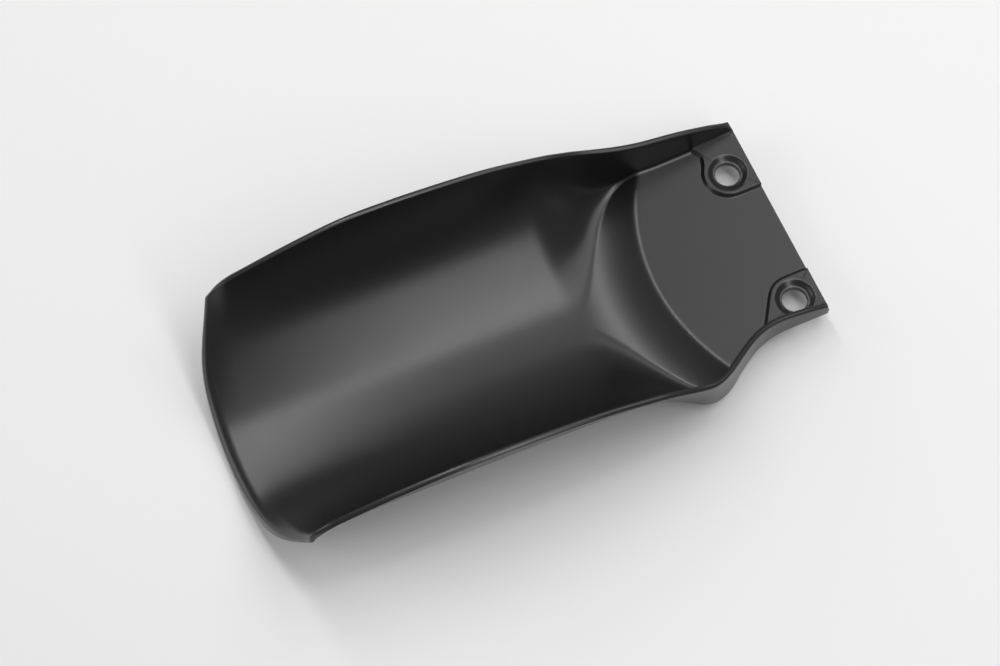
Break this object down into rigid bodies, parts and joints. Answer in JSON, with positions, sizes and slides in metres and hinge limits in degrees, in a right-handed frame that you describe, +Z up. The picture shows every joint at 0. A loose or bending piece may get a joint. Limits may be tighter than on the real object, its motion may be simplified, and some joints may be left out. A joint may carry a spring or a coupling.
{
  "type": "shock absorber mud flap",
  "caption": "Black moulded plastic mud flap for a shock absorber: bolted mount plate that steps down into a deep trough",
  "frame": {"origin": "Midpoint between the axes of the two bolt holes, on the mounting face, which is the flat underside of the mount plate.", "axes": "X runs along the flap, mount end at positive X and tip at negative X. Y runs across it along the line of the two holes. Z points up, out of the open side of the trough, along the bolts."},
  "size_m": [0.2399, 0.1136, 0.0534],
  "materials": {
    "black_plastic": "matte black moulded polypropylene with a fine grain and a soft sheen"
  },
  "bodies": {
    "root": {"mud_flap": "black_plastic"}
  },
  "joints": []
}
